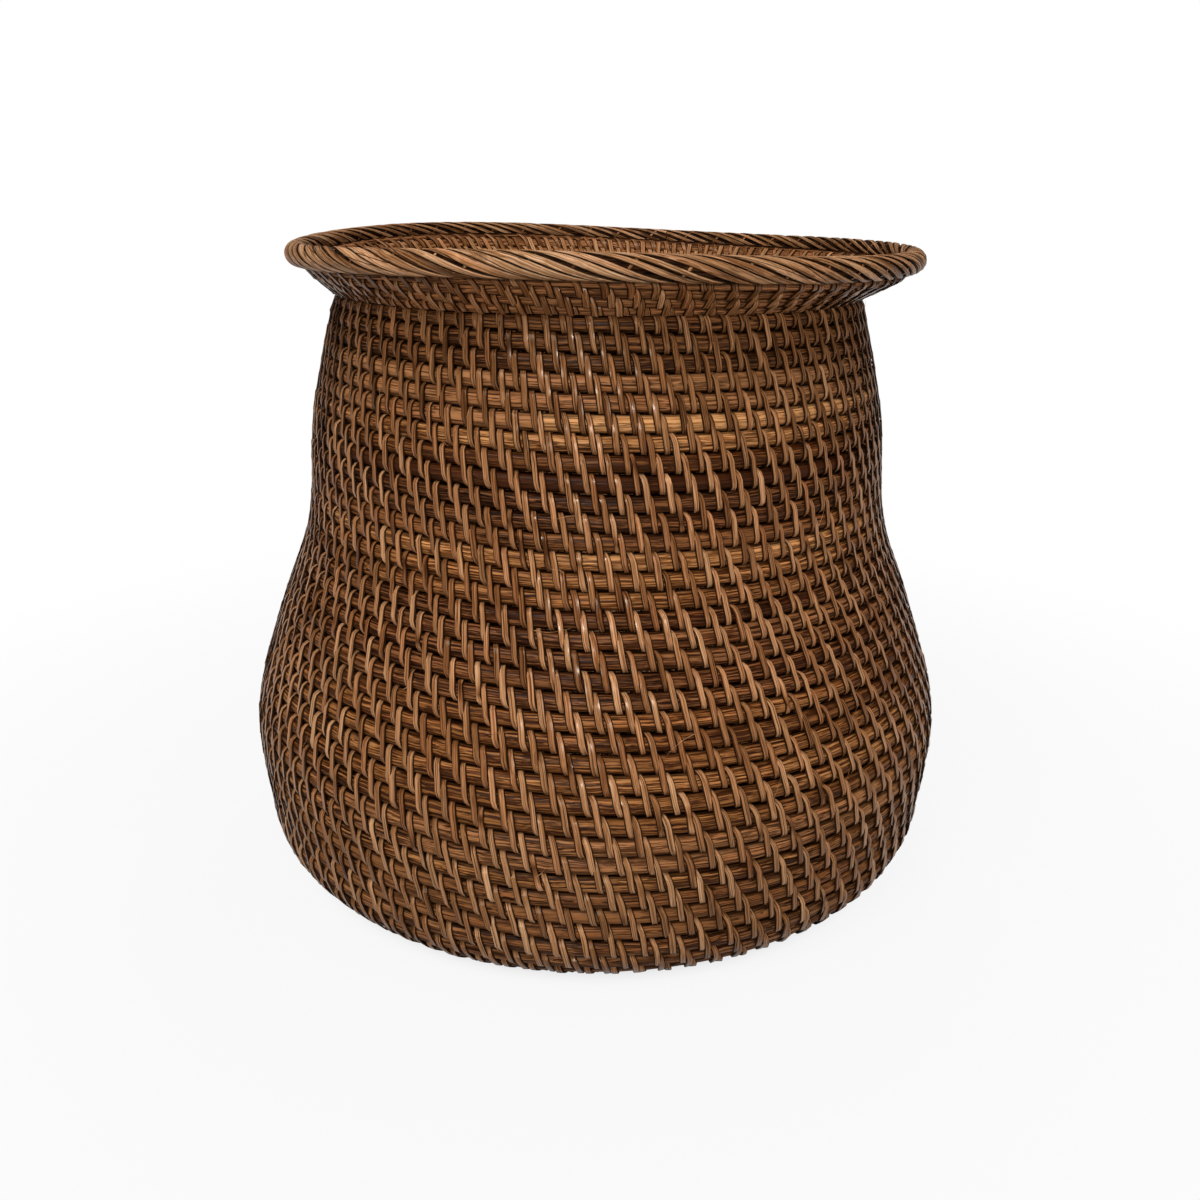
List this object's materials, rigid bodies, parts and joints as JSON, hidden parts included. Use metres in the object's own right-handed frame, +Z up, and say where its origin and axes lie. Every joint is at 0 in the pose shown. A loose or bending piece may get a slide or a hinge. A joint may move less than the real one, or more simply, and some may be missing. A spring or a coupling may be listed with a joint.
{
  "type": "planter basket",
  "caption": "Round woven planter basket with a full belly, a drawn-in neck and a flared, strand-wrapped rim, coiled from a lashed rattan rod.",
  "frame": {"origin": "centre of the base, on the surface that the basket stands on", "axes": "+Z up out of the mouth, -Y towards the side that the picture shows, +X to its right"},
  "size_m": [0.345, 0.3452, 0.3056],
  "materials": {
    "cane_dark": "satin varnish over dark rattan",
    "cane_medium": "satin varnish over rattan",
    "cane_light": "satin varnish over golden rattan",
    "peel": "glossy flat rattan peel",
    "rim_core": "matt dark rattan"
  },
  "bodies": {
    "root": {"base_coil_start": "cane_medium", "base_coil_inner": "cane_medium", "base_coil_middle": "cane_medium", "base_coil_outer": "cane_dark", "wall_coil_01": "cane_dark", "wall_coil_02": "cane_medium", "wall_coil_03": "cane_light", "wall_coil_04": "cane_dark", "wall_coil_05": "cane_light", "wall_coil_06": "cane_medium", "wall_coil_07": "cane_light", "wall_coil_08": "cane_medium", "wall_coil_09": "cane_light", "wall_coil_10": "cane_dark", "wall_coil_11": "cane_medium", "wall_coil_12": "cane_dark", "collar_coil_lower": "cane_medium", "collar_coil_upper": "cane_medium", "rim_core_hoop": "rim_core", "rim_wrap_strand_1": "peel", "rim_wrap_strand_2": "peel", "rim_wrap_strand_3": "peel", "rim_wrap_strand_4": "peel", "rim_wrap_strand_5": "peel", "rim_wrap_strand_6": "peel", "rim_wrap_strand_7": "peel", "rim_wrap_strand_8": "peel"}
  },
  "joints": []
}
